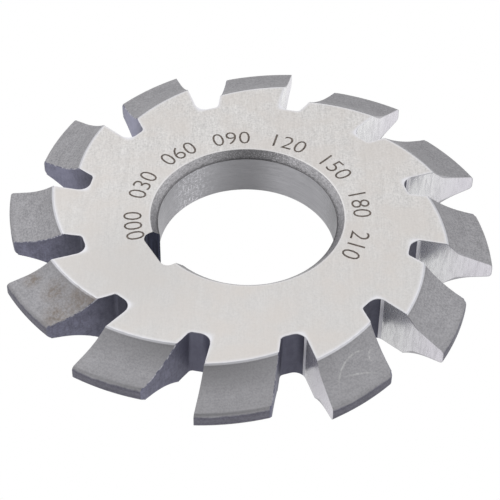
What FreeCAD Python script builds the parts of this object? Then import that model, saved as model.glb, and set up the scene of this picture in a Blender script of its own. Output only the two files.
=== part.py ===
import FreeCAD, Part
import math
import os

# Involute gear cutter: a form-relieved milling cutter of one piece of steel.
# It lies on its lower side face, with the bore's axis along +Z.
# The first tooth's cutting face lies on the XZ plane and looks clockwise, towards -Y.
# Lengths are in millimetres and angles in degrees.

# Blank
outer_diameter = 60.8
body_width = 6.85

# Teeth: the form at the cutting face, and how fast it falls away behind it
tooth_count = 12
tip_width = 1.9
tip_corner_radius = 0.6
flank_angle = 14.5
flank_curve_radius = 9.1
foot_angle = 43.0
form_depth = 5.75
relief_drop = 2.95

# Gashes between the teeth
gash_depth = 10.15
gash_floor_width = 2.7
gash_heel_angle = 26.0
gash_face_radius = 1.4
gash_heel_radius = 0.6

# Bore and keyway
bore_diameter = 22.0
upper_chamfer = 0.95
lower_chamfer = 0.65
keyway_width = 6.0
keyway_height = 24.1
keyway_corner_radius = 1.0
keyway_angle = -139.0

# Sections that carry the relieved form round one tooth
section_count = 5

outer_radius = outer_diameter / 2
bore_radius = bore_diameter / 2
gash_floor_radius = outer_radius - gash_depth
tooth_pitch = 360.0 / tooth_count
axis = FreeCAD.Vector(0, 0, 1)
centre = FreeCAD.Vector(0, 0, 0)


def tangent_arc(before, corner, after, radius):
    """Start, middle and end of the arc that rounds a corner."""
    inward = (before - corner).normalize()
    outward = (after - corner).normalize()
    half_angle = inward.getAngle(outward) / 2
    setback = radius / math.tan(half_angle)
    bisector = (inward + outward).normalize()
    middle = corner + bisector * (radius / math.sin(half_angle) - radius)
    return corner + inward * setback, middle, corner + outward * setback


def rounded_outline(corners):
    """Closed wire through the corners, each given as a point and its radius, with each arc in two halves."""
    joints = []
    for index, (point, radius) in enumerate(corners):
        if radius > 0:
            before = corners[index - 1][0]
            after = corners[(index + 1) % len(corners)][0]
            joints.append(tangent_arc(before, point, after, radius))
        else:
            joints.append((point, None, point))
    edges = []
    for index, (start, middle, end) in enumerate(joints):
        if middle is not None:
            arc = Part.Arc(start, middle, end)
            halfway = (arc.FirstParameter + arc.LastParameter) / 2
            edges.append(arc.toShape(arc.FirstParameter, halfway))
            edges.append(arc.toShape(halfway, arc.LastParameter))
        next_start = joints[(index + 1) % len(joints)][0]
        edges.append(Part.LineSegment(end, next_start).toShape())
    return Part.Wire(edges)


def turned(shape, angle):
    """A copy of the shape, turned counter-clockwise about the bore's axis."""
    copy = shape.copy()
    copy.rotate(centre, axis, angle)
    return copy


def form_space_section(angle_behind_face):
    """Outline of what the relieving tool clears round the form, at one angle behind the cutting face."""
    drop = relief_drop * angle_behind_face / tooth_pitch
    overrun = body_width / 2
    half_tip = tip_width / 2
    half_width = body_width / 2
    flank_slope = math.tan(math.radians(flank_angle))
    foot_slope = math.tan(math.radians(foot_angle))
    tip_radius = outer_radius - drop
    side_radius = outer_radius - form_depth - drop
    far_radius = tip_radius + relief_drop + overrun

    # The flank runs straight from the tip and bends out to meet the side face at the foot.
    bend_depth = (half_width - half_tip - form_depth * foot_slope) / (flank_slope - foot_slope)
    bend_radius = tip_radius - bend_depth
    bend_half = half_tip + bend_depth * flank_slope
    end_radius = side_radius - overrun / foot_slope
    end_half = half_width + overrun

    upper = [
        ((far_radius, end_half), 0),
        ((end_radius, end_half), 0),
        ((bend_radius, bend_half), flank_curve_radius),
        ((tip_radius, half_tip), tip_corner_radius),
    ]
    lower = [((radius, -half), rounding) for (radius, half), rounding in reversed(upper)]
    corners = []
    for (radius, half), rounding in upper + lower:
        corners.append((FreeCAD.Vector(radius, 0, half_width + half), rounding))
    return turned(rounded_outline(corners), angle_behind_face)


def make_form_space():
    """The space round one tooth's form, falling steadily inwards from the cutting face to the heel."""
    floor_angle = math.degrees(math.atan(gash_floor_width / gash_floor_radius))
    first_angle = -floor_angle / 4
    last_angle = tooth_pitch - floor_angle / 2
    step = (last_angle - first_angle) / (section_count - 1)
    sections = [form_space_section(first_angle + step * index) for index in range(section_count)]
    return Part.makeLoft(sections, True, False)


def make_gash():
    """The chip space in front of one cutting face, with a rounded root and a sloping heel wall."""
    overrun = body_width / 2
    reach = outer_radius + relief_drop + overrun
    heel_slope = math.tan(math.radians(gash_heel_angle))
    heel_end = gash_floor_width + (reach - gash_floor_radius) * heel_slope
    base = -overrun
    corners = [
        (FreeCAD.Vector(reach, 0, base), 0),
        (FreeCAD.Vector(gash_floor_radius, 0, base), gash_face_radius),
        (FreeCAD.Vector(gash_floor_radius, -gash_floor_width, base), gash_heel_radius),
        (FreeCAD.Vector(reach, -heel_end, base), 0),
    ]
    floor = Part.Face(rounded_outline(corners))
    return floor.extrude(axis * (body_width + 2 * overrun))


def make_bore():
    """The bore with a chamfer at each side face, and the keyway along it."""
    overrun = body_width / 2
    half_section = [
        FreeCAD.Vector(0, 0, -overrun),
        FreeCAD.Vector(bore_radius + lower_chamfer + overrun, 0, -overrun),
        FreeCAD.Vector(bore_radius, 0, lower_chamfer),
        FreeCAD.Vector(bore_radius, 0, body_width - upper_chamfer),
        FreeCAD.Vector(bore_radius + upper_chamfer + overrun, 0, body_width + overrun),
        FreeCAD.Vector(0, 0, body_width + overrun),
    ]
    bore = Part.Face(Part.makePolygon(half_section, True)).revolve(centre, axis, 360)

    keyway_floor = keyway_height - bore_radius
    half_key = keyway_width / 2
    corners = [
        (FreeCAD.Vector(0, -half_key, -overrun), 0),
        (FreeCAD.Vector(keyway_floor, -half_key, -overrun), keyway_corner_radius),
        (FreeCAD.Vector(keyway_floor, half_key, -overrun), keyway_corner_radius),
        (FreeCAD.Vector(0, half_key, -overrun), 0),
    ]
    keyway = Part.Face(rounded_outline(corners)).extrude(axis * (body_width + 2 * overrun))
    return bore.fuse(turned(keyway, keyway_angle))


def make_cutter():
    """The turned blank, less its gashes, the space round each tooth's form, and the bore."""
    blank = Part.makeCylinder(outer_radius + relief_drop, body_width)
    gash = make_gash()
    form_space = make_form_space()
    angles = [tooth_pitch * index for index in range(tooth_count)]
    gashed = blank.cut([turned(gash, angle) for angle in angles])
    relieved = gashed.cut([turned(form_space, angle) for angle in angles])
    return relieved.cut(make_bore()).removeSplitter()


os.makedirs("parts", exist_ok=True)
cutter = make_cutter()
cutter.exportStep("parts/gear_cutter.step")
print("solids", len(cutter.Solids), "valid", cutter.isValid(), "volume", round(cutter.Volume, 1))
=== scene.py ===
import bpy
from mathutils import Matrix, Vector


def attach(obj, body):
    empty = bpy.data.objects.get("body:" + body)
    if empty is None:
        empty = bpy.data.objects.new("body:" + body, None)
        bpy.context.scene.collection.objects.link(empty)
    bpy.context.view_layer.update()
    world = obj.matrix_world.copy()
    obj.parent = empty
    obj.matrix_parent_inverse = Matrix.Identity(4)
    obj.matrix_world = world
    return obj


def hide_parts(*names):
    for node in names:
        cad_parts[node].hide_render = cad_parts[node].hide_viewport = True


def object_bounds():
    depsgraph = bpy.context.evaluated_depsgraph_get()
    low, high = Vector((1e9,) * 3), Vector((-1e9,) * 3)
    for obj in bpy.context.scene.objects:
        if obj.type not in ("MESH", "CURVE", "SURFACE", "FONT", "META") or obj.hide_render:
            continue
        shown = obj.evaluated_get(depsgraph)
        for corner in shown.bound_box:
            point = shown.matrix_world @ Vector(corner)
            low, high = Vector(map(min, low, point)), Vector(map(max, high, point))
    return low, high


bl_info = {
    "name": "Involute gear cutter",
    "version": (1, 0, 0),
    "blender": (4, 5, 0),
    "location": "3D View > Sidebar > Gear Cutter",
    "description": "Models a form-relieved involute gear cutter in its packed frame, and its studio",
    "category": "Object",
}

import math

import bmesh
import bpy
from bpy.props import FloatProperty, FloatVectorProperty, IntProperty, PointerProperty
from mathutils import Matrix, Vector

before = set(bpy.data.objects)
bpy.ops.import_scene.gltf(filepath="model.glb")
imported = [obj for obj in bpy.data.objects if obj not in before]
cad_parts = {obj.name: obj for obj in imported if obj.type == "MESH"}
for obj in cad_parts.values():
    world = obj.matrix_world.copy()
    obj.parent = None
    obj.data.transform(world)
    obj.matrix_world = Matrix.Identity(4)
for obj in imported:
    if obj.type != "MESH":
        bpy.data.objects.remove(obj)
cad_low, cad_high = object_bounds()

# Lengths are in metres. MM turns millimetres into metres, and SNAP is how near two points count as one.
MM = 0.001
SNAP = 0.001 * MM

# Steps of the arcs that round the outlines' corners, and sides of the bore
FACE_ROOT_STEPS, HEEL_ROOT_STEPS, FLANK_STEPS, TIP_STEPS, KEYWAY_STEPS = 10, 6, 12, 8, 6
BORE_SIDES = 144

# A figure's height as a share of its text size
FIGURE_SHARE = 0.727

# Sockets of a Mix node: its mask, its two values, its two colours and the colour that it gives
MASK, LOW_VALUE, HIGH_VALUE, UNDER, OVER, MIXED = 0, 2, 3, 6, 7, 2

WHITE = (1.0, 1.0, 1.0, 1.0)

# Order of the material slots on the cutter
SIDE, FLANK, FACE, GASH, ROOT_HIGHLIGHT, BORE, CHAMFER, KEYWAY, EDGE, BURR, MARK = range(11)


def length(name, description, value):
    """A size in metres."""
    return FloatProperty(name=name, description=description, default=value, unit="LENGTH", precision=5)


def angle(name, description, degrees):
    """An angle given in degrees and kept in radians."""
    return FloatProperty(
        name=name, description=description, default=math.radians(degrees), subtype="ANGLE"
    )


def amount(name, description, value, unit="NONE"):
    """A number that is neither a size nor an angle."""
    return FloatProperty(name=name, description=description, default=value, unit=unit)


def location(name, description, value):
    """A place in metres."""
    return FloatVectorProperty(
        name=name, description=description, default=value, unit="LENGTH", subtype="XYZ"
    )


def colour(name, description, red, green, blue):
    """A colour in linear values."""
    return FloatVectorProperty(
        name=name, description=description, default=(red, green, blue), subtype="COLOR", min=0, max=1
    )


class CutterSizes(bpy.types.PropertyGroup):
    """Sizes of the cutter's form, gashes and bore."""

    outer_diameter: length("Outer diameter", "Across the tips", cad_high.x - cad_low.x)
    body_width: length("Body width", "Between the ground side faces", cad_high.z - cad_low.z)
    tooth_count: IntProperty(name="Teeth", description="Teeth round the cutter", default=12, min=3)
    tip_width: length("Tip width", "Width of the tooth's tip at the cutting face", 1.9 * MM)
    tip_corner_radius: length("Tip corner radius", "Rounding between tip and flank", 0.6 * MM)
    flank_angle: angle("Flank angle", "Lean of the straight part of the flank", 14.5)
    flank_curve_radius: length("Flank curve radius", "Bend between the flank and the foot", 9.1 * MM)
    foot_angle: angle("Foot angle", "Lean of the flank where it meets the side face", 43.0)
    form_depth: length("Form depth", "From the tip to where the flank meets the side face", 5.75 * MM)
    relief_drop: length("Relief drop", "How far the form falls over one tooth pitch", 2.95 * MM)
    gash_depth: length("Gash depth", "From the tip circle to the gash's floor", 10.15 * MM)
    gash_floor_width: length("Gash floor width", "Width of the gash at its floor", 2.7 * MM)
    gash_heel_angle: angle("Gash heel angle", "Lean of the wall behind the tooth in front", 26.0)
    gash_face_radius: length("Gash face radius", "Root rounding at the cutting face", 1.4 * MM)
    gash_heel_radius: length("Gash heel radius", "Root rounding at the heel wall", 0.6 * MM)
    bore_diameter: length("Bore diameter", "Ground bore that fits the arbor", 22.0 * MM)
    upper_chamfer: length("Upper chamfer", "Chamfer of the bore at the upper side face", 0.95 * MM)
    lower_chamfer: length("Lower chamfer", "Chamfer of the bore at the lower side face", 0.65 * MM)
    keyway_width: length("Keyway width", "Between the walls of the keyway", 6.0 * MM)
    keyway_height: length("Keyway height", "From the keyway's floor to the bore's far wall", 24.1 * MM)
    keyway_corner_radius: length("Keyway corner radius", "Rounding along the keyway's floor", 1.0 * MM)
    keyway_angle: angle("Keyway angle", "Where the keyway lies round the bore", -139.0)
    edge_break: length("Edge break", "Width taken off the side faces' sharp edges", 0.05 * MM)
    burr_width: length("Burr width", "Width of the ragged edge along the teeth's heels", 0.09 * MM)
    heel_rounding: length("Heel rounding", "Rounding of the heel's corner at the tip", 0.25 * MM)
    smooth_angle: angle("Smooth angle", "Edges that turn less than this look smooth", 20.0)

    @property
    def pitch(self):
        """Angle from one tooth to the next."""
        return 2 * math.pi / self.tooth_count

    @property
    def half_width(self):
        """From the middle of the body to a side face."""
        return self.body_width / 2

    @property
    def tip_radius(self):
        """Radius of the tips at the cutting faces."""
        return self.outer_diameter / 2

    @property
    def foot_radius(self):
        """Radius where the form meets the side face, at the cutting face."""
        return self.tip_radius - self.form_depth

    @property
    def floor_radius(self):
        """Radius of the gashes' floor."""
        return self.tip_radius - self.gash_depth

    @property
    def bore_radius(self):
        """Radius of the ground bore."""
        return self.bore_diameter / 2

    @property
    def mouth_radius(self):
        """Radius of the upper chamfer where it meets the side face."""
        return self.bore_radius + self.upper_chamfer


class CutterMarks(bpy.types.PropertyGroup):
    """The plain dial of angles etched round the bore."""

    height: length("Figure height", "Height of the figures", 2.45 * MM)
    foot_radius: length("Foot radius", "Radius on which the figures stand", 12.95 * MM)
    depth: length("Etched depth", "Depth of the etching", 0.03 * MM)
    thinning: length("Thinning", "Taken off each side of the figures' strokes", 0.03 * MM)
    figure_step: angle("Figure step", "Angle from one figure to the next", 6.9)
    first_angle: angle("First number", "Where the first number is centred", 200.0)
    number_step: angle("Number step", "Angle from one number to the next", 30.0)
    number_count: IntProperty(name="Numbers", description="Numbers on the dial", default=8, min=1)


class CutterColours(bpy.types.PropertyGroup):
    """Base colours of the cutter's finishes."""

    side: colour("Side faces", "Surface-ground steel", 0.654, 0.641, 0.633)
    flank: colour("Flanks", "Relieved form, satin and granular", 0.342, 0.338, 0.354)
    land: colour("Tip land", "Dark skin left on the tooth's tip", 0.138, 0.135, 0.17)
    face: colour("Cutting faces", "Freshly ground steel", 0.92, 0.895, 0.955)
    gash: colour("Gashes", "Hardened skin left in the gashes", 0.168, 0.169, 0.228)
    bore: colour("Bore", "Fine-ground bore", 0.468, 0.465, 0.488)
    chamfer: colour("Chamfer", "Turned chamfer", 0.39, 0.384, 0.4)
    keyway: colour("Keyway", "Broached keyway with its hardened skin", 0.03, 0.033, 0.055)
    # Also the colour of the painted highlight along the side faces' rims and the flanks' feet.
    edge: colour("Edges", "Bright broken edges", 0.80, 0.80, 0.84)
    # The root line's colour is a painted highlight.
    root: colour("Root line", "Bright line where the cutting face ends", 0.96, 0.95, 1.0)
    mark: colour("Marks", "Etched figures", 0.118, 0.098, 0.085)
    stain: colour("Stains", "Light rust on one tooth", 0.21, 0.172, 0.14)
    scratch: colour("Scratches", "Bright scratches on one tooth", 0.54, 0.54, 0.54)


class StudioSettings(bpy.types.PropertyGroup):
    """Floor, light and camera."""

    floor_size: length("Floor size", "Side of the square floor", 4.0)
    floor_drop: length("Floor drop", "How far the floor lies under the cutter", 0.01 * MM)
    floor_colour: colour("Floor colour", "Pale floor", 0.45, 0.45, 0.45)
    floor_glow: amount("Floor glow", "Light from below the pale floor", 0.53)
    sky_strength: amount("Sky strength", "Even light from all round", 0.95)
    dark_side: amount("Dark side", "Sky strength behind the camera", 0.1)
    corner_light: amount("Corner light", "Share of the sky's light in the dim corner", 0.7)
    softbox_size: length("Softbox size", "Side of each square soft light", 0.5)
    key_place: location("Key place", "Where the soft left light stands", (-0.34, 0.2, 0.52))
    key_power: amount("Key power", "Power of the soft left light, in watts", 0.4, "POWER")
    fill_place: location("Fill place", "Where the soft right light stands", (0.36, 0.3, 0.46))
    fill_power: amount("Fill power", "Power of the soft right light, in watts", 0.25, "POWER")
    camera_distance: length("Camera distance", "From the camera to the cutter's middle", 0.22386)
    camera_turn: angle("Camera turn", "How far the camera stands round from -Y towards +X", 10.774)
    camera_tilt: angle("Camera tilt", "Tilt of the view away from straight down", 44.479)
    camera_roll: angle("Camera roll", "Roll of the camera about its view", 0.894)
    centre_right: length("Centre right", "The cutter, right of the view's middle", -0.374 * MM)
    centre_up: length("Centre up", "The cutter, above the view's middle", -0.447 * MM)
    nearest: length("Nearest", "How near the camera can see", 0.01)
    focal_length: amount("Focal length", "Focal length in millimetres", 128.55)
    sensor_width: amount("Sensor width", "Width of the sensor in millimetres", 36.0)


# Modelling


def deselect():
    """Nothing is selected, and the scene is in object mode."""
    if bpy.context.object and bpy.context.object.mode != "OBJECT":
        bpy.ops.object.mode_set(mode="OBJECT")
    bpy.ops.object.select_all(action="DESELECT")


def edit(piece):
    """Opens one object in edit mode."""
    deselect()
    bpy.context.view_layer.objects.active = piece
    piece.select_set(True)
    bpy.ops.object.mode_set(mode="EDIT")


def choose(piece, kind, test):
    """Selects the vertices, edges or faces that pass a test, in edit mode."""
    bpy.ops.mesh.select_mode(type=kind)
    bpy.ops.mesh.select_all(action="DESELECT")
    mesh = bmesh.from_edit_mesh(piece.data)
    mesh.normal_update()
    for item in {"VERT": mesh.verts, "EDGE": mesh.edges, "FACE": mesh.faces}[kind]:
        if test(item):
            item.select_set(True)
    mesh.select_flush_mode()
    bmesh.update_edit_mesh(piece.data)


def turn_selection(turn):
    """Turns what is selected counter-clockwise about the bore's axis."""
    bpy.ops.transform.rotate(
        value=-turn, orient_axis="Z", orient_type="GLOBAL", center_override=(0, 0, 0)
    )


def round_corner(outline, before, corner, after, radius, segments):
    """Rounds one corner of a flat outline with an arc."""
    half_angle = (before - corner).angle(after - corner) / 2
    # This profile puts the middle of the bevel's curve on the true arc.
    sine = math.sin(half_angle)
    profile = ((1 + 2 * sine) / (2 + 2 * sine)) ** 2
    choose(outline, "VERT", lambda vertex: (vertex.co - corner).length < SNAP)
    bpy.ops.mesh.bevel(
        offset_type="OFFSET", offset=radius / math.tan(half_angle),
        segments=segments, profile=profile, affect="VERTICES",
    )


def draw_outline(name, corners):
    """A flat face through the corners, each given as its place, its radius and the steps of its arc."""
    places = [Vector(place) for place, radius, segments in corners]
    deselect()
    bpy.ops.mesh.primitive_plane_add(size=MM)
    outline = bpy.context.object
    outline.name = name
    bpy.ops.object.mode_set(mode="EDIT")
    bpy.ops.mesh.select_mode(type="VERT")
    bpy.ops.mesh.merge(type="CENTER")
    bpy.ops.transform.translate(value=places[0])
    for before, after in zip(places, places[1:]):
        bpy.ops.mesh.extrude_vertices_move(TRANSFORM_OT_translate={"value": after - before})
    bpy.ops.mesh.select_all(action="SELECT")
    bpy.ops.mesh.edge_face_add()
    for index, (place, radius, segments) in enumerate(corners):
        if radius > 0:
            after = places[(index + 1) % len(places)]
            round_corner(outline, places[index - 1], places[index], after, radius, segments)
    bpy.ops.mesh.select_mode(type="FACE")
    bpy.ops.mesh.select_all(action="SELECT")
    return outline


def raise_outline(height):
    """Extrudes the outline that is being edited into a solid, straight up."""
    bpy.ops.mesh.extrude_region_move(TRANSFORM_OT_translate={"value": (0, 0, height)})
    bpy.ops.mesh.select_all(action="SELECT")
    bpy.ops.mesh.normals_make_consistent(inside=False)


def repeat_round(count):
    """Copies all of the mesh that is being edited round the bore's axis, evenly."""
    bpy.ops.mesh.select_all(action="SELECT")
    way_round = 2 * math.pi * (count - 1) / count
    bpy.ops.mesh.spin(
        dupli=True, steps=count - 1, angle=way_round, center=(0, 0, 0), axis=(0, 0, 1)
    )


def add_finishes(piece, finishes):
    """Gives a piece all the material slots, in order."""
    for finish in finishes:
        piece.data.materials.append(finish)


def give_finish(piece, slot, test):
    """Puts one material slot on the faces that pass a test, in edit mode."""
    choose(piece, "FACE", test)
    piece.active_material_index = slot
    bpy.ops.object.material_slot_assign()


def coat(tool, finishes, slot):
    """Gives a tool all the material slots, and one of them all over."""
    add_finishes(tool, finishes)
    give_finish(tool, slot, lambda face: True)


def cut_away(body, tool, crossing=False):
    """Cuts a tool out of the body, with the tool's finishes on the cut; the tool may cross itself."""
    deselect()
    bpy.context.view_layer.objects.active = body
    body.select_set(True)
    bpy.ops.object.modifier_add(type="BOOLEAN")
    modifier = body.modifiers[-1]
    modifier.operation = "DIFFERENCE"
    modifier.solver = "EXACT"
    modifier.material_mode = "INDEX"
    modifier.use_self = crossing
    modifier.object = tool
    bpy.ops.object.modifier_apply(modifier=modifier.name)
    bpy.data.objects.remove(tool)


def make_blank(sizes, finishes):
    """The turned disc, larger than the tips by the relief, which is all cut away."""
    spokes = 96
    ring_count = 8
    radius = sizes.tip_radius + sizes.relief_drop
    ring_width = (radius - sizes.bore_radius + sizes.upper_chamfer) / ring_count
    deselect()
    bpy.ops.mesh.primitive_cylinder_add(
        vertices=spokes, radius=radius, depth=sizes.body_width,
        location=(0, 0, sizes.half_width), rotation=(0, 0, math.pi / spokes),
    )
    blank = bpy.context.object
    blank.name = "cutter_body"
    bpy.ops.object.transform_apply(location=True, rotation=True, scale=True)
    # Rings of small faces keep the side faces clean when the tools cut them.
    edit(blank)
    choose(blank, "FACE", lambda face: abs(face.normal.z) > 0.9)
    for ring in range(ring_count):
        bpy.ops.mesh.inset(thickness=ring_width)
    add_finishes(blank, finishes)
    return blank


def make_gash_tool(sizes, finishes):
    """The shapes of all the gashes: a flat cutting face, a rounded root and a sloping heel wall."""
    overrun = sizes.half_width
    reach = sizes.tip_radius + sizes.relief_drop + overrun
    floor_radius = sizes.floor_radius
    heel_end = sizes.gash_floor_width + (reach - floor_radius) * math.tan(sizes.gash_heel_angle)
    tool = draw_outline("gash_tool", [
        ((reach, 0, -overrun), 0, 0),
        ((floor_radius, 0, -overrun), sizes.gash_face_radius, FACE_ROOT_STEPS),
        ((floor_radius, -sizes.gash_floor_width, -overrun), sizes.gash_heel_radius, HEEL_ROOT_STEPS),
        ((reach, -heel_end, -overrun), 0, 0),
    ])
    raise_outline(sizes.body_width + 2 * overrun)
    coat(tool, finishes, GASH)
    # The start of the root's rounding gets the near-white root finish, a painted highlight.
    give_finish(tool, ROOT_HIGHLIGHT, lambda face: face.normal.y > 0.9)
    give_finish(tool, FACE, lambda face: face.normal.y > 0.99)
    repeat_round(sizes.tooth_count)
    return tool


def make_form_tool(sizes, finishes):
    """The space round every tooth's form, which falls steadily inwards behind its cutting face."""
    floor_angle = math.atan(sizes.gash_floor_width / sizes.floor_radius)
    first_angle = -floor_angle / 4
    last_angle = sizes.pitch - floor_angle / 2
    step_count = 20
    step = (last_angle - first_angle) / step_count
    overrun = sizes.half_width

    half_width = sizes.half_width
    half_tip = sizes.tip_width / 2
    flank_slope = math.tan(sizes.flank_angle)
    foot_slope = math.tan(sizes.foot_angle)
    tip_radius = sizes.tip_radius - sizes.relief_drop * first_angle / sizes.pitch
    far_radius = tip_radius + sizes.relief_drop + overrun
    # The flank runs straight from the tip and bends out to meet the side face at the foot.
    bend_depth = (half_width - half_tip - sizes.form_depth * foot_slope) / (flank_slope - foot_slope)
    bend_half = half_tip + bend_depth * flank_slope
    upper = [
        (far_radius, half_width + overrun, 0, 0),
        (tip_radius - sizes.form_depth - overrun / foot_slope, half_width + overrun, 0, 0),
        (tip_radius - bend_depth, bend_half, sizes.flank_curve_radius, FLANK_STEPS),
        (tip_radius, half_tip, sizes.tip_corner_radius, TIP_STEPS),
    ]
    lower = [(radius, -half, rounding, steps) for radius, half, rounding, steps in reversed(upper)]
    tool = draw_outline("form_tool", [
        ((radius, 0, half_width + half), rounding, steps)
        for radius, half, rounding, steps in upper + lower
    ])

    turn_selection(first_angle)
    for index in range(step_count):
        behind = first_angle + step * (index + 1)
        drop = sizes.relief_drop * step / sizes.pitch
        bpy.ops.mesh.extrude_region_move()
        turn_selection(step)
        bpy.ops.transform.translate(value=(-drop * math.cos(behind), -drop * math.sin(behind), 0))
    bpy.ops.mesh.select_all(action="SELECT")
    bpy.ops.mesh.normals_make_consistent(inside=False)
    coat(tool, finishes, FLANK)
    repeat_round(sizes.tooth_count)
    return tool


def make_bore_tool(sizes, finishes):
    """The bore with its chamfers opening out through both side faces."""
    overrun = sizes.half_width
    radius = sizes.bore_radius
    bottom = sizes.lower_chamfer
    top = sizes.body_width - sizes.upper_chamfer
    deselect()
    bpy.ops.mesh.primitive_cylinder_add(
        vertices=BORE_SIDES, radius=radius, depth=top - bottom, location=(0, 0, (top + bottom) / 2)
    )
    tool = bpy.context.object
    bpy.ops.object.transform_apply(location=True, rotation=True, scale=True)
    edit(tool)
    for side, chamfer in ((1, sizes.upper_chamfer), (-1, sizes.lower_chamfer)):
        flare = chamfer + overrun
        choose(tool, "FACE", lambda face: face.normal.z * side > 0.9)
        bpy.ops.mesh.extrude_region_move(TRANSFORM_OT_translate={"value": (0, 0, side * flare)})
        bpy.ops.transform.resize(value=((radius + flare) / radius, (radius + flare) / radius, 1))
    coat(tool, finishes, BORE)
    give_finish(tool, CHAMFER, lambda face: abs(face.normal.z) > 0.1)
    return tool


def make_keyway_tool(sizes, finishes):
    """The keyway's walls and floor, with its floor corners rounded."""
    overrun = sizes.half_width
    floor = sizes.keyway_height - sizes.bore_radius
    half_key = sizes.keyway_width / 2
    tool = draw_outline("keyway_tool", [
        ((0, -half_key, -overrun), 0, 0),
        ((floor, -half_key, -overrun), sizes.keyway_corner_radius, KEYWAY_STEPS),
        ((floor, half_key, -overrun), sizes.keyway_corner_radius, KEYWAY_STEPS),
        ((0, half_key, -overrun), 0, 0),
    ])
    raise_outline(sizes.body_width + 2 * overrun)
    turn_selection(sizes.keyway_angle)
    coat(tool, finishes, KEYWAY)
    return tool


def break_edges(body, sizes):
    """Breaks the side faces' edges, leaves the heels ragged and rounds their corners at the tips."""
    middle = sizes.half_width
    tip_reach = sizes.tip_width / 2 + sizes.tip_corner_radius / 4

    def is_heel(edge):
        return {face.material_index for face in edge.link_faces} == {FLANK, GASH}

    def is_tip_heel(edge):
        return is_heel(edge) and max(abs(vertex.co.z - middle) for vertex in edge.verts) < tip_reach

    def is_flank_heel(edge):
        return is_heel(edge) and not is_tip_heel(edge)

    def is_rim(edge):
        kinds = {face.material_index for face in edge.link_faces}
        return SIDE in kinds and len(kinds) > 1 and MARK not in kinds

    edit(body)
    for test, width, segments, finish in (
        (is_flank_heel, sizes.burr_width, 1, BURR),
        (is_tip_heel, sizes.heel_rounding, 3, GASH),
        (is_rim, sizes.edge_break, 1, EDGE),
    ):
        choose(body, "EDGE", test)
        bpy.ops.mesh.bevel(
            offset_type="OFFSET", offset=width, segments=segments,
            material=finish, clamp_overlap=False, loop_slide=True,
        )


def make_figure(figure, marks, place_angle, top, finishes):
    """One upright figure with its foot towards the bore, deep enough to cut into the side face."""
    deselect()
    bpy.ops.object.text_add()
    text = bpy.context.object
    text.data.body = figure
    text.data.align_x = "CENTER"
    text.data.size = marks.height / FIGURE_SHARE
    text.data.extrude = marks.depth
    text.data.offset = -marks.thinning
    text.data.resolution_u = 3
    bpy.ops.object.convert(target="MESH")
    tool = bpy.context.object
    place = Matrix.Rotation(place_angle, 4, "Z") @ Matrix.Translation((marks.foot_radius, 0, top))
    tool.matrix_world = place @ Matrix.Rotation(-math.pi / 2, 4, "Z")
    bpy.ops.object.transform_apply(location=True, rotation=True, scale=True)
    edit(tool)
    bpy.ops.mesh.select_all(action="SELECT")
    bpy.ops.mesh.remove_doubles(threshold=SNAP)
    bpy.ops.mesh.normals_make_consistent(inside=False)
    tool.data.materials.clear()
    coat(tool, finishes, MARK)
    deselect()
    return tool


def engrave_dial(body, sizes, marks, finishes):
    """Etches the numbers, in steps of one tooth, round the bore on the upper side face."""
    figures = []
    for index in range(marks.number_count):
        number = f"{round(math.degrees(marks.number_step)) * index:03d}"
        centre = marks.first_angle - marks.number_step * index
        for position, figure in enumerate(number):
            place_angle = centre + marks.figure_step * ((len(number) - 1) / 2 - position)
            figures.append(make_figure(figure, marks, place_angle, sizes.body_width, finishes))
    deselect()
    for figure in figures:
        figure.select_set(True)
    bpy.context.view_layer.objects.active = figures[0]
    bpy.ops.object.join()
    cut_away(body, figures[0], crossing=True)


# Materials


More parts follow.
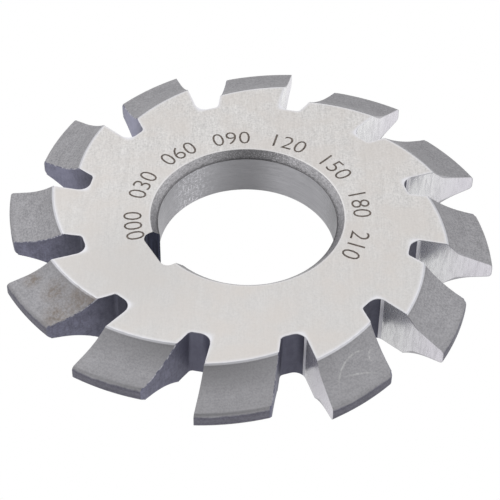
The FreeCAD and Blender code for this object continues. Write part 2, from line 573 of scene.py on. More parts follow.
class Graph:
    """Adds nodes to one node tree, each to the right of the last, and joins them."""

    column_width = 200
    row_height = 120

    def __init__(self, tree):
        self.tree = tree
        self.column = 0

    def add(self, kind, inputs=None, **settings):
        """Adds a node with its settings; each input is a number, a colour or another node's output."""
        node = self.tree.nodes.new(kind)
        node.location = (self.column_width * self.column, -self.row_height * (self.column % 4))
        self.column += 1
        for name, value in settings.items():
            setattr(node, name, value)
        for name, value in (inputs or {}).items():
            if isinstance(value, bpy.types.NodeSocket):
                self.tree.links.new(value, node.inputs[name])
            else:
                node.inputs[name].default_value = value
        return node

    def shared(self, group, inputs=None):
        """Places a shared node group with its own values."""
        return self.add("ShaderNodeGroup", inputs, node_tree=group).outputs

    def math(self, operation, first, second=0.0, third=0.0, clamp=False):
        """The result of a calculation on up to three values."""
        values = {0: first, 1: second, 2: third}
        return self.add("ShaderNodeMath", values, operation=operation, use_clamp=clamp).outputs[0]

    def vector(self, operation, first, second=(0.0, 0.0, 0.0)):
        """The vector that a calculation on one or two vectors gives."""
        vectors = {0: first, 1: second}
        return self.add("ShaderNodeVectorMath", vectors, operation=operation).outputs["Vector"]

    def measure(self, operation, first, second=(0.0, 0.0, 0.0)):
        """The number that a calculation on one or two vectors gives."""
        vectors = {0: first, 1: second}
        return self.add("ShaderNodeVectorMath", vectors, operation=operation).outputs["Value"]

    def fade(self, value, start, end, low=0.0, high=1.0):
        """Goes smoothly from low to high as the value goes from start to end."""
        limits = {"Value": value, "From Min": start, "From Max": end, "To Min": low, "To Max": high}
        return self.add("ShaderNodeMapRange", limits, interpolation_type="SMOOTHSTEP").outputs["Result"]

    def mix_value(self, mask, low, high):
        """Goes from one value to another as the mask turns white."""
        return self.add("ShaderNodeMix", {MASK: mask, LOW_VALUE: low, HIGH_VALUE: high}).outputs[0]

    def mix(self, mask, under, over):
        """Lays one colour over another where the mask is white."""
        colours = {MASK: mask, UNDER: under, OVER: over}
        return self.add("ShaderNodeMix", colours, data_type="RGBA").outputs[MIXED]

    def blend(self, *parts):
        """The sum of several values, each times its share."""
        total = 0.0
        for value, share in parts:
            total = self.math("MULTIPLY_ADD", value, share, total)
        return total

    def point(self):
        """Where a point of the cutter lies, in millimetres."""
        place = self.add("ShaderNodeTexCoord").outputs["Object"]
        scale = (1 / MM, 1 / MM, 1 / MM)
        return self.add("ShaderNodeMapping", {"Vector": place, "Scale": scale}).outputs["Vector"]

    def offset(self, x=0.0, y=0.0):
        """How far a point lies from a place, along X and Y alone, in millimetres."""
        parts = self.add("ShaderNodeSeparateXYZ", {0: self.point()}).outputs
        offset_x = self.math("SUBTRACT", parts["X"], x)
        offset_y = self.math("SUBTRACT", parts["Y"], y)
        return self.add("ShaderNodeCombineXYZ", {0: offset_x, 1: offset_y}).outputs[0]

    def moved(self, place, seed):
        """The place moved by a seed, so that two patterns of one kind differ."""
        return self.vector("ADD", place, self.add("ShaderNodeCombineXYZ", {0: seed, 1: seed}).outputs[0])

    def noise(self, vector, scale, detail, roughness):
        """Noise from 0 to 1."""
        settings = {"Vector": vector, "Scale": scale, "Detail": detail, "Roughness": roughness}
        return self.add("ShaderNodeTexNoise", settings).outputs["Fac"]


class Group(Graph):
    """The graph of a new node group, with named values in and out."""

    def __init__(self, name, inputs):
        super().__init__(bpy.data.node_groups.new(name, "ShaderNodeTree"))
        for label, value in inputs.items():
            socket = self.tree.interface.new_socket(
                name=label, in_out="INPUT", socket_type="NodeSocketFloat"
            )
            socket.default_value = value
        self.entry = self.add("NodeGroupInput").outputs

    def give_out(self, values):
        """Gives the group an output for each named value, and returns the group."""
        for label in values:
            self.tree.interface.new_socket(name=label, in_out="OUTPUT", socket_type="NodeSocketFloat")
        self.add("NodeGroupOutput", values)
        return self.tree


def make_place_group(sizes):
    """A point's radius, its height above the middle, and its share of the pitch behind its face."""
    graph = Group("place_on_cutter", {})
    parts = graph.add("ShaderNodeSeparateXYZ", {0: graph.point()}).outputs
    radius = graph.measure("LENGTH", graph.offset())
    bearing = graph.math("ARCTAN2", parts["Y"], parts["X"])
    teeth = graph.math("MULTIPLY_ADD", bearing, sizes.tooth_count / (2 * math.pi), sizes.tooth_count)
    behind = graph.math("FRACT", teeth)
    # The radius that the same point of the form has at the cutting face
    form_radius = graph.math("MULTIPLY_ADD", behind, sizes.relief_drop / MM, radius)
    height = graph.math("SUBTRACT", parts["Z"], sizes.half_width / MM)
    return graph.give_out({
        "Radius": radius, "Height": height, "Behind": behind, "Form Radius": form_radius,
    })


def make_gash_group(sizes):
    """How far a side face's point lies from a gash, by its radius and angle behind the cutting face."""
    graph = Group("distance_to_gash", {"Radius": 0.0, "Angle": 0.0})
    radius = graph.entry["Radius"]
    along = graph.math("MULTIPLY", radius, graph.math("COSINE", graph.entry["Angle"]))
    across = graph.math("MULTIPLY", radius, graph.math("SINE", graph.entry["Angle"]))
    floor_radius = sizes.floor_radius / MM
    to_floor = graph.math("SUBTRACT", floor_radius, along)
    # The heel wall starts at the far side of the floor and leans back.
    past_floor = graph.math("MULTIPLY", to_floor, math.sin(sizes.gash_heel_angle))
    past_heel = graph.math("ADD", across, sizes.gash_floor_width / MM)
    to_heel = graph.math("MULTIPLY_ADD", past_heel, -math.cos(sizes.gash_heel_angle), past_floor)
    rounding = sizes.gash_face_radius / MM
    corner = graph.math("SMOOTH_MAX", across, to_floor, rounding)
    return graph.give_out({"Distance": graph.math("SMOOTH_MAX", corner, to_heel, rounding / 2)})


def make_rim_highlight_group(sizes, place_group, gash_group):
    """How near a point of a side face is to the nearest edge, for the painted highlight there: 1 at the
    edge and 0 one width away.
    """
    graph = Group("rim_highlight_nearness", {"Width": 0.5})
    place = graph.shared(place_group)
    behind = graph.math("MULTIPLY", place["Behind"], sizes.pitch)
    ahead = graph.math("SUBTRACT", behind, sizes.pitch)
    own_gash = graph.shared(gash_group, {"Radius": place["Radius"], "Angle": behind})[0]
    next_gash = graph.shared(gash_group, {"Radius": place["Radius"], "Angle": ahead})[0]
    foot = sizes.foot_radius / MM
    to_foot = graph.math("SUBTRACT", foot, place["Form Radius"])
    mouth = sizes.mouth_radius / MM
    # The rim is narrower round the bore.
    to_bore = graph.math("MULTIPLY", graph.math("SUBTRACT", place["Radius"], mouth), 2.0)
    nearest = own_gash
    for distance in (next_gash, to_foot, to_bore):
        nearest = graph.math("MINIMUM", nearest, distance)
    share = graph.math("DIVIDE", nearest, graph.entry["Width"])
    return graph.give_out({"Nearness": graph.math("SUBTRACT", 1.0, share, clamp=True)})


def make_profile_group(sizes, place_group):
    """How far a point of a cutting face lies from the form's edge, in millimetres."""
    graph = Group("distance_to_form_edge", {})
    place = graph.shared(place_group)
    half_tip = sizes.tip_width / 2 / MM
    half_width = sizes.half_width / MM
    tip_radius = sizes.tip_radius / MM
    flank_slope = math.tan(sizes.flank_angle)
    foot_slope = math.tan(sizes.foot_angle)
    depth = graph.math("SUBTRACT", tip_radius, place["Radius"])
    flank_half = graph.math("MULTIPLY_ADD", depth, flank_slope, half_tip)
    foot_start = half_width - sizes.form_depth / MM * foot_slope
    foot_half = graph.math("MULTIPLY_ADD", depth, foot_slope, foot_start)
    smoothing = 0.3
    half = graph.math("SMOOTH_MAX", flank_half, foot_half, smoothing)
    half = graph.math("MINIMUM", half, half_width)
    across = graph.math("SUBTRACT", half, graph.math("ABSOLUTE", place["Height"]))
    across = graph.math("MULTIPLY", across, math.cos(sizes.flank_angle))
    return graph.give_out({
        "Distance": graph.math("SMOOTH_MIN", across, depth, sizes.tip_corner_radius / MM),
    })


def make_streak_group():
    """Fine straight marks such as a grinding wheel leaves, from their sizes in millimetres."""
    graph = Group("grinding_marks", {
        "X Size": 0.2, "Y Size": 6.0, "Z Size": 6.0, "Turn": 0.0, "Seed": 0.0,
    })
    turned = {"Vector": graph.point(), "Axis": (0, 0, 1), "Angle": graph.entry["Turn"]}
    place = graph.add("ShaderNodeVectorRotate", turned, rotation_type="AXIS_ANGLE").outputs[0]
    stretch = {0: graph.entry["X Size"], 1: graph.entry["Y Size"], 2: graph.entry["Z Size"]}
    place = graph.vector("DIVIDE", place, graph.add("ShaderNodeCombineXYZ", stretch).outputs[0])
    fine = graph.noise(graph.moved(place, graph.entry["Seed"]), 1.0, detail=3.0, roughness=0.65)
    return graph.give_out({"Marks": graph.fade(fine, 0.25, 0.75)})


def make_ring_group(place_group):
    """Marks that run round the bore's axis, as turning or relieving leaves them."""
    graph = Group("turning_marks", {
        "Length": 4.0, "Radial Size": 0.2, "Height Size": 0.2, "Relief": 0.0, "Seed": 0.0,
    })
    place = graph.shared(place_group)
    radius = graph.mix_value(graph.entry["Relief"], place["Radius"], place["Form Radius"])
    # The marks have their full length at this radius, near the teeth.
    full_radius = 25.0
    turns = graph.math("DIVIDE", full_radius, graph.entry["Length"])
    way = {0: graph.vector("NORMALIZE", graph.offset()), "Scale": turns}
    way = graph.add("ShaderNodeVectorMath", way, operation="SCALE").outputs["Vector"]
    across = graph.math("DIVIDE", radius, graph.entry["Radial Size"])
    up = graph.math("DIVIDE", place["Height"], graph.entry["Height Size"])
    fine = graph.add("ShaderNodeTexNoise", {
        "Vector": graph.moved(way, graph.entry["Seed"]), "W": graph.math("ADD", across, up),
        "Scale": 1.0, "Detail": 2.0, "Roughness": 0.6,
    }, noise_dimensions="4D").outputs["Fac"]
    return graph.give_out({"Marks": graph.fade(fine, 0.3, 0.7)})


def make_patch_group():
    """Soft cloudy patches of a size in millimetres."""
    graph = Group("soft_patches", {"Size": 5.0, "Seed": 0.0, "Contrast": 0.5})
    scale = graph.math("DIVIDE", 1.0, graph.entry["Size"])
    place = graph.moved(graph.point(), graph.entry["Seed"])
    cloud = graph.noise(place, scale, detail=3.0, roughness=0.55)
    spread = graph.math("MULTIPLY", graph.entry["Contrast"], 0.5)
    low = graph.math("SUBTRACT", 0.5, spread)
    return graph.give_out({"Patches": graph.fade(cloud, low, graph.math("ADD", 0.5, spread))})


def make_grit_group():
    """The fine granular skin of a relieved or hardened surface, of a grain size in millimetres."""
    graph = Group("granular_skin", {"Grain": 0.2})
    scale = graph.math("DIVIDE", 1.0, graph.entry["Grain"])
    fine = graph.noise(graph.point(), scale, detail=4.0, roughness=0.7)
    return graph.give_out({"Grit": graph.fade(fine, 0.25, 0.75)})


def make_spot_group():
    """A soft round spot at a place on the cutter, in millimetres: 1 at its middle and 0 at its reach."""
    graph = Group("spot", {"X": 0.0, "Y": 0.0, "Reach": 2.0})
    distance = graph.measure("LENGTH", graph.offset(graph.entry["X"], graph.entry["Y"]))
    share = graph.math("DIVIDE", distance, graph.entry["Reach"])
    return graph.give_out({"Spot": graph.fade(share, 0.0, 1.0, 1.0, 0.0)})


def make_scratch_group():
    """A fine scratch along a circle round a place on the cutter, in millimetres: 1 on the circle."""
    graph = Group("scratch", {"X": 0.0, "Y": 0.0, "Bend": 5.0, "Width": 0.17})
    distance = graph.measure("LENGTH", graph.offset(graph.entry["X"], graph.entry["Y"]))
    off_circle = graph.math("ABSOLUTE", graph.math("SUBTRACT", distance, graph.entry["Bend"]))
    return graph.give_out({"Scratch": graph.fade(off_circle, 0.0, graph.entry["Width"], 1.0, 0.0)})


def shade(value, factor=1.0):
    """A colour made darker or lighter by a factor, opaque."""
    return (*(min(1.0, part * factor) for part in value), 1.0)


class Finish(Graph):
    """One steel finish: a material whose colour, roughness and fine relief come from its graph."""

    def __init__(self, name, groups, metallic=1.0):
        self.material = bpy.data.materials.new(name)
        self.material.use_nodes = True
        super().__init__(self.material.node_tree)
        self.groups = groups
        self.shader = self.tree.nodes["Principled BSDF"]
        self.shader.inputs["Metallic"].default_value = metallic

    def pattern(self, kind, inputs=None):
        """One of the shared patterns, with its own values."""
        return self.shared(self.groups[kind], inputs)[0]

    def place(self, measure):
        """One measure of where a point lies on the cutter."""
        return self.shared(self.groups["place"])[measure]

    def marks_along(self, width, length, seed=0.0):
        """Fine marks along the bore's axis."""
        return self.pattern("streak", {"X Size": width, "Y Size": width, "Z Size": length, "Seed": seed})

    def patches(self, size, contrast, seed=0.0):
        """Soft cloudy patches."""
        return self.pattern("patch", {"Size": size, "Contrast": contrast, "Seed": seed})

    def grit(self, grain):
        """Fine granular skin."""
        return self.pattern("grit", {"Grain": grain})

    def spot(self, x, y, reach):
        """A soft round spot."""
        return self.pattern("spot", {"X": x, "Y": y, "Reach": reach})

    def spots(self, *places):
        """Several soft round spots together, each given by its X, Y, reach and share."""
        total = 0.0
        for x, y, reach, share in places:
            total = self.math("MULTIPLY_ADD", self.spot(x, y, reach), share, total, clamp=True)
        return total

    def tint(self, mask, colour, low, high):
        """Goes from one shade of a colour to another as the mask turns white."""
        return self.mix(mask, shade(colour, low), shade(colour, high))

    def grained(self, mask, colour, near, far, dark, light):
        """A colour with a grain, its dark and light shades given for a near and a far place along Y."""
        along = self.add("ShaderNodeSeparateXYZ", {0: self.point()}).outputs["Y"]
        away = self.fade(along, near, far)
        return self.mix(mask, self.tint(away, colour, *dark), self.tint(away, colour, *light))

    def done(self, base, grain, rough, limits=(0.0, 1.0), depth=0.0):
        """Joins the colour and, from its grain, the roughness and a relief of a depth in millimetres."""
        roughness = self.fade(grain, *limits, *rough)
        self.tree.links.new(base, self.shader.inputs["Base Color"])
        self.tree.links.new(roughness, self.shader.inputs["Roughness"])
        if depth > 0:
            bump = {"Height": grain, "Distance": depth * MM, "Strength": 1.0}
            normal = self.add("ShaderNodeBump", bump).outputs[0]
            self.tree.links.new(normal, self.shader.inputs["Normal"])
        right = self.column_width * self.column
        self.shader.location = (right, 0)
        self.tree.nodes["Material Output"].location = (right + 1.5 * self.column_width, 0)
        return self.material


def side_finish(colours, groups, studio):
    """Surface-ground steel with straight marks, warm and cool patches, a painted highlight along its rim
    and a patch of painted shade.
    """
    finish = Finish("ground_side_face", groups)
    # The marks run straight away from the camera.
    turn = -studio.camera_turn
    fine = finish.pattern("streak", {"X Size": 0.16, "Y Size": 1.2, "Turn": turn})
    broad = finish.pattern("streak", {"X Size": 0.6, "Y Size": 9.0, "Turn": turn, "Seed": 7.0})
    marks = finish.blend((fine, 0.3), (finish.grit(grain=0.3), 0.5), (broad, 0.2))
    # The marks stand out more towards the far side.
    steel = finish.grained(
        marks, colours.side, near=-16.0, far=16.0, dark=(0.91, 0.72), light=(1.09, 1.34)
    )
    warmth = (1.02, 0.985, 0.955)
    warm = (*(part * share for part, share in zip(colours.side, warmth)), 1.0)
    patches = finish.patches(size=4.0, contrast=0.35)
    steel = finish.mix(finish.math("MULTIPLY", patches, 0.7), steel, warm)
    # Painted shade: the near-left stretch is a little darker than the rest.
    painted_shade = finish.spots((-12.0, -13.0, 15.0, 0.5))
    steel = finish.mix(painted_shade, steel, shade(colours.side, 0.86))
    # Painted highlight: the side face is painted lighter in a band along its edges.
    rim_highlight = finish.math("POWER", finish.pattern("rim_highlight", {"Width": 0.55}), 2.0)
    steel = finish.mix(finish.math("MULTIPLY", rim_highlight, 0.9), steel, shade(colours.edge))
    return finish.done(steel, marks, rough=(0.46, 0.36), limits=(0.2, 0.8), depth=0.004)


def flank_finish(colours, groups, sizes):
    """Relieved form: satin and granular, with a dark land at the tip, stains and scratches."""
    finish = Finish("relieved_form", groups)
    rings = {"Length": 4.0, "Radial Size": 0.16, "Height Size": 0.5, "Relief": 1.0}
    tone = finish.blend(
        (finish.grit(grain=0.24), 0.66),
        (finish.pattern("ring", rings), 0.16),
        (finish.patches(size=1.6, contrast=0.6, seed=3.0), 0.18),
    )
    # The grain stands out more towards the far side.
    steel = finish.grained(
        tone, colours.flank, near=-24.0, far=2.0, dark=(0.93, 0.74), light=(1.1, 1.3)
    )
    # A painted highlight follows the side face along the flank's foot, with a band of painted shade
    # beyond it.
    foot = sizes.foot_radius / MM
    form_radius = finish.place("Form Radius")
    painted_shade = finish.fade(form_radius, foot, foot + 0.5, 0.45, 0.0)
    steel = finish.mix(painted_shade, steel, shade(colours.flank, 0.6))
    painted_edge_highlight = finish.fade(form_radius, foot + 0.14, foot + 0.25, 1.0, 0.0)
    steel = finish.mix(painted_edge_highlight, steel, shade(colours.edge, 0.84))
    # Stains and scratches are on the upper flanks only.
    height = finish.place("Height")
    upper = finish.fade(height, 0.0, 0.4)
    stains = finish.math("MULTIPLY", stain_mask(finish), upper)
    steel = finish.mix(stains, steel, shade(colours.stain))
    scratches = finish.math("MULTIPLY", scratch_mask(finish), upper)
    steel = finish.mix(scratches, steel, shade(colours.scratch))

    # The land at the tip keeps its dark skin up to a wavy line, and is darkest there.
    wave = finish.patches(size=1.4, contrast=0.8, seed=21.0)
    line = finish.math("MULTIPLY_ADD", wave, 0.26, finish.math("ABSOLUTE", height))
    land = finish.tint(tone, colours.land, 0.75, 1.3)
    land = finish.mix(finish.fade(line, 0.3, 0.75, 0.2, 0.0), land, shade(colours.flank, 0.85))
    steel = finish.mix(finish.fade(line, 0.66, 0.98, 1.0, 0.0), steel, land)
    return finish.done(steel, tone, rough=(0.62, 0.48), limits=(0.2, 0.8), depth=0.01)


def stain_mask(finish):
    """Where one tooth has light rust, in mottled patches."""
    spots = (
        (-23.2, -14.6, 1.7),
        (-20.0, -16.2, 2.4),
        (-16.8, -17.6, 3.0),
        (-18.8, -19.4, 3.0),
        (-15.2, -17.4, 2.2),
    )
    stained = 0.0
    for x, y, reach in spots:
        stained = finish.math("MAXIMUM", finish.spot(x, y, reach), stained)
    mottle = finish.patches(size=0.6, contrast=0.45, seed=31.0)
    mottle = finish.blend((finish.grit(grain=0.3), 0.45), (mottle, 0.65))
    mottled = finish.math("MULTIPLY", finish.math("MULTIPLY", stained, mottle), 0.88)
    # The corner between the side face and the heel is stained all over.
    corner = finish.spots((-14.9, -17.7, 1.5, 0.65))
    return finish.math("MAXIMUM", mottled, corner)


def scratch_mask(finish):
    """Where one tooth has three fine scratches, each kept to its stretch and broken up."""
    scratches = (
        {"arc": (20.3, -22.0, 5.13), "stretch": (15.7, -20.2, 3.4)},
        {"arc": (18.74, -18.01, 0.85), "stretch": (17.8, -18.2, 1.3)},
        {"arc": (22.0, -29.7, 10.0), "stretch": (17.5, -20.9, 2.4)},
    )
    scratched = 0.0
    for scratch in scratches:
        x, y, bend = scratch["arc"]
        arc = finish.pattern("scratch", {"X": x, "Y": y, "Bend": bend})
        stretch = finish.fade(finish.spot(*scratch["stretch"]), 0.0, 0.4)
        scratched = finish.math("MULTIPLY_ADD", arc, stretch, scratched)
    broken = finish.math("MULTIPLY_ADD", finish.patches(size=0.45, contrast=0.25, seed=41.0), 0.65, 0.12)
    return finish.math("MULTIPLY", scratched, broken, clamp=True)


def face_finish(colours, groups, sizes):
    """Freshly ground cutting face with fine marks along the axis and a duller line along its edge."""
    finish = Finish("ground_cutting_face", groups, 0.78)
    fine = finish.marks_along(width=0.15, length=1.4)
    broad = finish.marks_along(width=0.6, length=3.5, seed=4.0)
    marks = finish.blend((fine, 0.5), (broad, 0.5))
    # Painted highlight: the face is painted brightest towards the root.
    tip_radius = sizes.tip_radius / MM
    low = finish.fade(finish.place("Radius"), tip_radius - 8.0, tip_radius - 1.0, 1.0, 0.0)
    steel = finish.tint(low, colours.face, 0.88, 1.24)
    steel = finish.mix(finish.fade(marks, 0.2, 0.7, 0.3, 0.0), steel, shade(colours.face, 0.5))
    # One face is darker than the rest.
    steel = finish.mix(finish.spot(x=12.9, y=-22.4, reach=8.0), steel, shade(colours.face, 0.8))
    edge = finish.fade(finish.pattern("profile"), 0.0, 0.16, 0.75, 0.0)
    steel = finish.mix(edge, steel, shade(colours.flank, 1.1))
    return finish.done(steel, marks, rough=(0.28, 0.2), limits=(0.2, 0.8), depth=0.004)


def root_highlight_finish(colours, groups):
    """The start of the root's rounding, painted near-white as a painted highlight where it catches the
    light.
    """
    finish = Finish("painted_root_highlight", groups, 0.1)
    marks = finish.marks_along(width=0.3, length=2.0)
    steel = finish.tint(marks, colours.root, 0.8, 1.0)
    return finish.done(steel, marks, rough=(0.4, 0.3))


def gash_finish(colours, groups, sizes):
    """Dark bluish hardened skin, cloudy and slightly granular, with faint marks along the axis."""
    finish = Finish("hardened_gash", groups, 0.7)
    tone = finish.blend(
        (finish.grit(grain=0.3), 0.45),
        (finish.marks_along(width=0.25, length=2.5), 0.25),
        (finish.patches(size=1.3, contrast=0.4, seed=11.0), 0.3),
    )
    steel = finish.tint(tone, colours.gash, 0.65, 1.4)
    # Painted shade: the gash is darker towards its root, deep in the recess.
    floor_radius = sizes.floor_radius / MM
    root = finish.fade(finish.place("Radius"), floor_radius, floor_radius + 5.0, 0.85, 0.0)
    steel = finish.mix(root, steel, shade(colours.gash, 0.5))
    # Painted light: some of the gashes are painted lighter on their heel walls.
    light = finish.spots((-20.5, 14.3, 7.0, 1.0), (-26.0, 2.5, 6.0, 0.5), (2.5, -21.5, 13.0, 0.25))
    steel = finish.mix(light, steel, shade(colours.gash, 2.25))
    return finish.done(steel, tone, rough=(0.55, 0.42), limits=(0.2, 0.8), depth=0.008)


def bore_finish(colours, groups):
    """Fine-ground bore with rings of marks and, at two places, short light flecks."""
    finish = Finish("ground_bore", groups)
    rings = finish.pattern("ring", {"Length": 8.0, "Height Size": 0.1})
    steel = finish.tint(rings, colours.bore, 0.92, 1.08)
    flecks = finish.pattern("ring", {"Length": 0.9, "Height Size": 0.14, "Seed": 9.0})
    flecks = finish.math("MAXIMUM", flecks, finish.marks_along(width=0.3, length=1.2, seed=9.0))
    flecked = finish.spots((-8.7, 6.7, 5.0, 1.0), (9.8, 5.0, 4.0, 0.6))
    flecks = finish.math("MULTIPLY", finish.fade(flecks, 0.6, 0.95, 0.0, 0.8), flecked)
    steel = finish.mix(flecks, steel, shade(colours.bore, 2.0))
    # Painted shade: darker stretches at the far side and beside the flecks.
    painted_shade = finish.spots((-1.9, 10.8, 5.0, 1.0), (-5.6, 9.4, 4.0, 0.4), (10.4, 3.2, 6.0, 0.9))
    steel = finish.mix(painted_shade, steel, shade(colours.bore, 0.6))
    return finish.done(steel, rings, rough=(0.34, 0.28), depth=0.02)


def chamfer_finish(colours, groups, sizes):
    """Turned chamfer, torn and speckled, with a line of painted shadow where the ground bore starts."""
    finish = Finish("turned_chamfer", groups)
    torn = finish.pattern("ring", {"Length": 0.9, "Radial Size": 0.14, "Seed": 5.0})
    skin = finish.grit(grain=0.16)
    radius = finish.place("Radius")
    bore_radius = sizes.bore_radius / MM
    mouth = sizes.mouth_radius / MM
    tone = finish.blend((torn, 0.55), (skin, 0.45))
    tone = finish.math("MULTIPLY", tone, finish.fade(radius, bore_radius, mouth, 0.75, 1.25))
    steel = finish.tint(tone, colours.chamfer, 0.55, 1.35)
    # Bright specks lie thickest at the far side.
    specks = finish.fade(skin, 0.58, 0.8, 0.0, 0.75)
    specks = finish.math("MULTIPLY", finish.spot(x=-0.5, y=11.5, reach=9.0), specks)
    steel = finish.mix(specks, steel, shade(colours.chamfer, 2.3))
    # Painted shadow: a dark line where the ground bore starts.
    edge = finish.math("MULTIPLY_ADD", torn, 0.15, radius)
    line = finish.fade(edge, bore_radius + 0.1, bore_radius + 0.4, 0.9, 0.0)
    steel = finish.mix(line, steel, shade(colours.chamfer, 0.35))
    return finish.done(steel, tone, rough=(0.42, 0.3), limits=(0.2, 0.8), depth=0.012)


def keyway_finish(colours, groups):
    """Very dark broached walls with faint marks along the axis."""
    finish = Finish("broached_keyway", groups)
    marks = finish.marks_along(width=0.3, length=4.0)
    steel = finish.tint(marks, colours.keyway, 0.6, 1.5)
    return finish.done(steel, marks, rough=(0.5, 0.4), depth=0.004)


def edge_finish(colours, groups, sizes):
    """Bright broken edge, with the odd duller stretch, and as warm as the side face round the bore."""
    finish = Finish("broken_edge", groups)
    patches = finish.patches(size=0.8, contrast=0.5, seed=5.0)
    steel = finish.tint(patches, colours.edge, 0.8, 1.0)
    mouth = sizes.mouth_radius / MM
    at_bore = finish.fade(finish.place("Radius"), mouth + 0.5, mouth + 1.5, 1.0, 0.0)
    steel = finish.mix(at_bore, steel, shade(colours.side, 1.05))
    return finish.done(steel, patches, rough=(0.45, 0.35))


def burr_finish(colours, groups):
    """Ragged heel edge: bright torn spots between stretches of dark skin."""
    finish = Finish("ragged_edge", groups)
    skin = finish.math("MULTIPLY_ADD", finish.grit(grain=0.15), 0.5, 0.5)
    tone = finish.math("MULTIPLY", finish.patches(size=0.4, contrast=0.2, seed=8.0), skin)
    # The tip's own corner is clean.
    height = finish.math("ABSOLUTE", finish.place("Height"))
    tone = finish.math("MULTIPLY", tone, finish.fade(height, 0.9, 1.3))
    steel = finish.mix(tone, shade(colours.gash, 1.1), shade(colours.edge, 0.7))
    return finish.done(steel, tone, rough=(0.6, 0.45), depth=0.02)


def mark_finish(colours, groups):
    """Etched figures: dark, brownish and rough."""
    finish = Finish("etched_figure", groups, 0.3)
    skin = finish.grit(grain=0.25)
    steel = finish.tint(skin, colours.mark, 0.6, 2.0)
    return finish.done(steel, skin, rough=(0.8, 0.6), depth=0.01)


def make_finishes(scene):
    """All the finishes, in the order of the material slots."""
    sizes = scene.cutter_sizes
    colours = scene.cutter_colours
    place = make_place_group(sizes)
    groups = {
        "place": place,
        "rim_highlight": make_rim_highlight_group(sizes, place, make_gash_group(sizes)),
        "profile": make_profile_group(sizes, place),
        "streak": make_streak_group(),
        "ring": make_ring_group(place),
        "patch": make_patch_group(),
        "grit": make_grit_group(),
        "spot": make_spot_group(),
        "scratch": make_scratch_group(),
    }
    return [
        side_finish(colours, groups, scene.cutter_studio),
        flank_finish(colours, groups, sizes),
        face_finish(colours, groups, sizes),
        gash_finish(colours, groups, sizes),
        root_highlight_finish(colours, groups),
        bore_finish(colours, groups),
        chamfer_finish(colours, groups, sizes),
        keyway_finish(colours, groups),
        edge_finish(colours, groups, sizes),
        burr_finish(colours, groups),
        mark_finish(colours, groups),
    ]


# Operators


class CUTTER_OT_model(bpy.types.Operator):
    """Model the gear cutter from its blank and give it its finishes"""

    bl_idname = "gear_cutter.model"
    bl_label = "Model the cutter"

    def execute(self, context):
        scene = context.scene
        sizes = scene.cutter_sizes
        finishes = make_finishes(scene)
        body = make_blank(sizes, finishes)
        for make_tool in (make_gash_tool, make_form_tool, make_bore_tool, make_keyway_tool):
            cut_away(body, make_tool(sizes, finishes))
        engrave_dial(body, sizes, scene.cutter_marks, finishes)
        break_edges(body, sizes)
        deselect()
        body.select_set(True)
        context.view_layer.objects.active = body
        bpy.ops.object.shade_smooth_by_angle(angle=sizes.smooth_angle)
        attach(body, "root")
        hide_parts("gear_cutter")
        return {"FINISHED"}


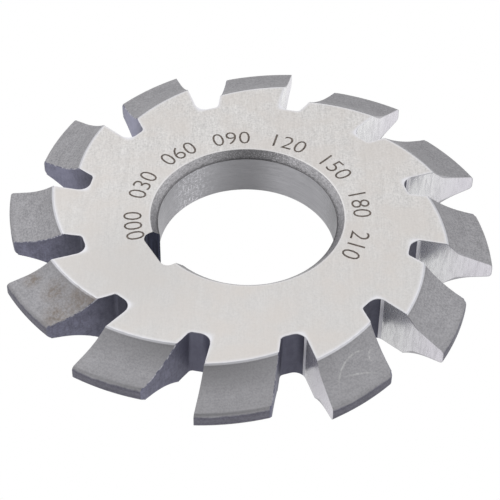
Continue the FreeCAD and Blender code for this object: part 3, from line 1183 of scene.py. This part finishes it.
class CUTTER_OT_stage(bpy.types.Operator):
    """Add the pale floor, the soft light and the camera"""

    bl_idname = "gear_cutter.stage"
    bl_label = "Set the stage"

    def execute(self, context):
        studio = context.scene.cutter_studio
        self.add_floor(studio)
        self.add_sky(context.scene, studio)
        self.add_softbox("key_light", studio.key_place, studio.softbox_size, studio.key_power)
        self.add_softbox("fill_light", studio.fill_place, studio.softbox_size, studio.fill_power)
        self.add_camera(context.scene, studio)
        context.scene.view_settings.view_transform = "Standard"
        return {"FINISHED"}

    def add_floor(self, studio):
        """A pale floor under the cutter."""
        deselect()
        bpy.ops.mesh.primitive_plane_add(size=studio.floor_size, location=(0, 0, -studio.floor_drop))
        floor = bpy.context.object
        floor.name = "floor"
        material = bpy.data.materials.new("pale_floor")
        material.use_nodes = True
        shader = material.node_tree.nodes["Principled BSDF"]
        shader.inputs["Base Color"].default_value = shade(studio.floor_colour)
        shader.inputs["Roughness"].default_value = 0.9
        shader.inputs["Specular IOR Level"].default_value = 0.0
        shader.inputs["Emission Color"].default_value = WHITE
        shader.inputs["Emission Strength"].default_value = studio.floor_glow
        self.clear_in_view(material)
        floor.data.materials.append(material)

    def clear_in_view(self, material):
        """Shows the floor as clear white, while the cutter mirrors it with its shadows."""
        tree = material.node_tree
        graph = Graph(tree)
        clear = graph.add("ShaderNodeEmission", {"Color": WHITE, "Strength": 1.0}).outputs[0]
        seen = graph.add("ShaderNodeLightPath").outputs["Is Camera Ray"]
        shaders = {0: seen, 1: tree.nodes["Principled BSDF"].outputs[0], 2: clear}
        mixed = graph.add("ShaderNodeMixShader", shaders).outputs[0]
        tree.links.new(mixed, tree.nodes["Material Output"].inputs["Surface"])

    def add_sky(self, scene, studio):
        """An even sky that is darker behind the camera and a little darker in one corner of the room."""
        world = bpy.data.worlds.new("even_sky")
        world.use_nodes = True
        graph = Graph(world.node_tree)
        way = graph.add("ShaderNodeTexCoord").outputs["Generated"]
        # Each fade goes by the cosine of the angle from its darkest point.
        turn = Matrix.Rotation(studio.camera_turn, 3, "Z")
        behind = turn @ Matrix.Rotation(studio.camera_tilt, 3, "X") @ Vector((0, 0, 1))
        nearness = graph.measure("DOT_PRODUCT", way, behind)
        sky = graph.fade(nearness, 0.76, 0.99, studio.sky_strength, studio.dark_side)
        # The corner is low at the back, to the right.
        nearness = graph.measure("DOT_PRODUCT", way, Vector((0.14, 0.98, 0.14)))
        dimming = graph.fade(nearness, 0.86, 0.99, 1.0, studio.corner_light)
        background = world.node_tree.nodes["Background"]
        world.node_tree.links.new(graph.math("MULTIPLY", sky, dimming), background.inputs["Strength"])
        background.inputs["Color"].default_value = WHITE
        scene.world = world

    def add_softbox(self, name, place, size, power):
        """A square area light that looks at the cutter."""
        deselect()
        bpy.ops.object.light_add(type="AREA", location=place)
        light = bpy.context.object
        light.name = name
        light.rotation_euler = (-Vector(place)).to_track_quat("-Z", "Y").to_euler()
        light.data.size = size
        light.data.energy = power

    def add_camera(self, scene, studio):
        """The camera at the viewing angle of the photograph."""
        deselect()
        bpy.ops.object.camera_add()
        camera = bpy.context.object
        camera.name = "camera"
        camera.data.lens = studio.focal_length
        camera.data.sensor_width = studio.sensor_width
        camera.data.clip_start = studio.nearest
        # Where the middle of the lower side face lies, seen from the camera
        seen_centre = Vector((studio.centre_right, studio.centre_up, -studio.camera_distance))
        turn = Matrix.Rotation(studio.camera_turn, 4, "Z")
        tilt = Matrix.Rotation(studio.camera_tilt, 4, "X")
        roll = Matrix.Rotation(studio.camera_roll, 4, "Z")
        camera.matrix_world = turn @ tilt @ roll @ Matrix.Translation(-seen_centre)
        scene.camera = camera


class CUTTER_PT_panel(bpy.types.Panel):
    """Sizes and steps of the gear cutter"""

    bl_idname = "CUTTER_PT_panel"
    bl_label = "Gear Cutter"
    bl_space_type = "VIEW_3D"
    bl_region_type = "UI"
    bl_category = "Gear Cutter"

    def draw(self, context):
        for group in GROUPS:
            settings = getattr(context.scene, group)
            box = self.layout.box()
            for name in settings.__annotations__:
                box.prop(settings, name)
        self.layout.operator(CUTTER_OT_model.bl_idname)
        self.layout.operator(CUTTER_OT_stage.bl_idname)


GROUPS = {
    "cutter_sizes": CutterSizes,
    "cutter_marks": CutterMarks,
    "cutter_colours": CutterColours,
    "cutter_studio": StudioSettings,
}
CLASSES = (*GROUPS.values(), CUTTER_OT_model, CUTTER_OT_stage, CUTTER_PT_panel)


def register():
    for entry in CLASSES:
        bpy.utils.register_class(entry)
    for name, group in GROUPS.items():
        setattr(bpy.types.Scene, name, PointerProperty(type=group))


def unregister():
    for name in GROUPS:
        delattr(bpy.types.Scene, name)
    for entry in reversed(CLASSES):
        bpy.utils.unregister_class(entry)


def main():
    register()
    bpy.ops.gear_cutter.stage()
    bpy.ops.gear_cutter.model()


if __name__ == "__main__":
    main()
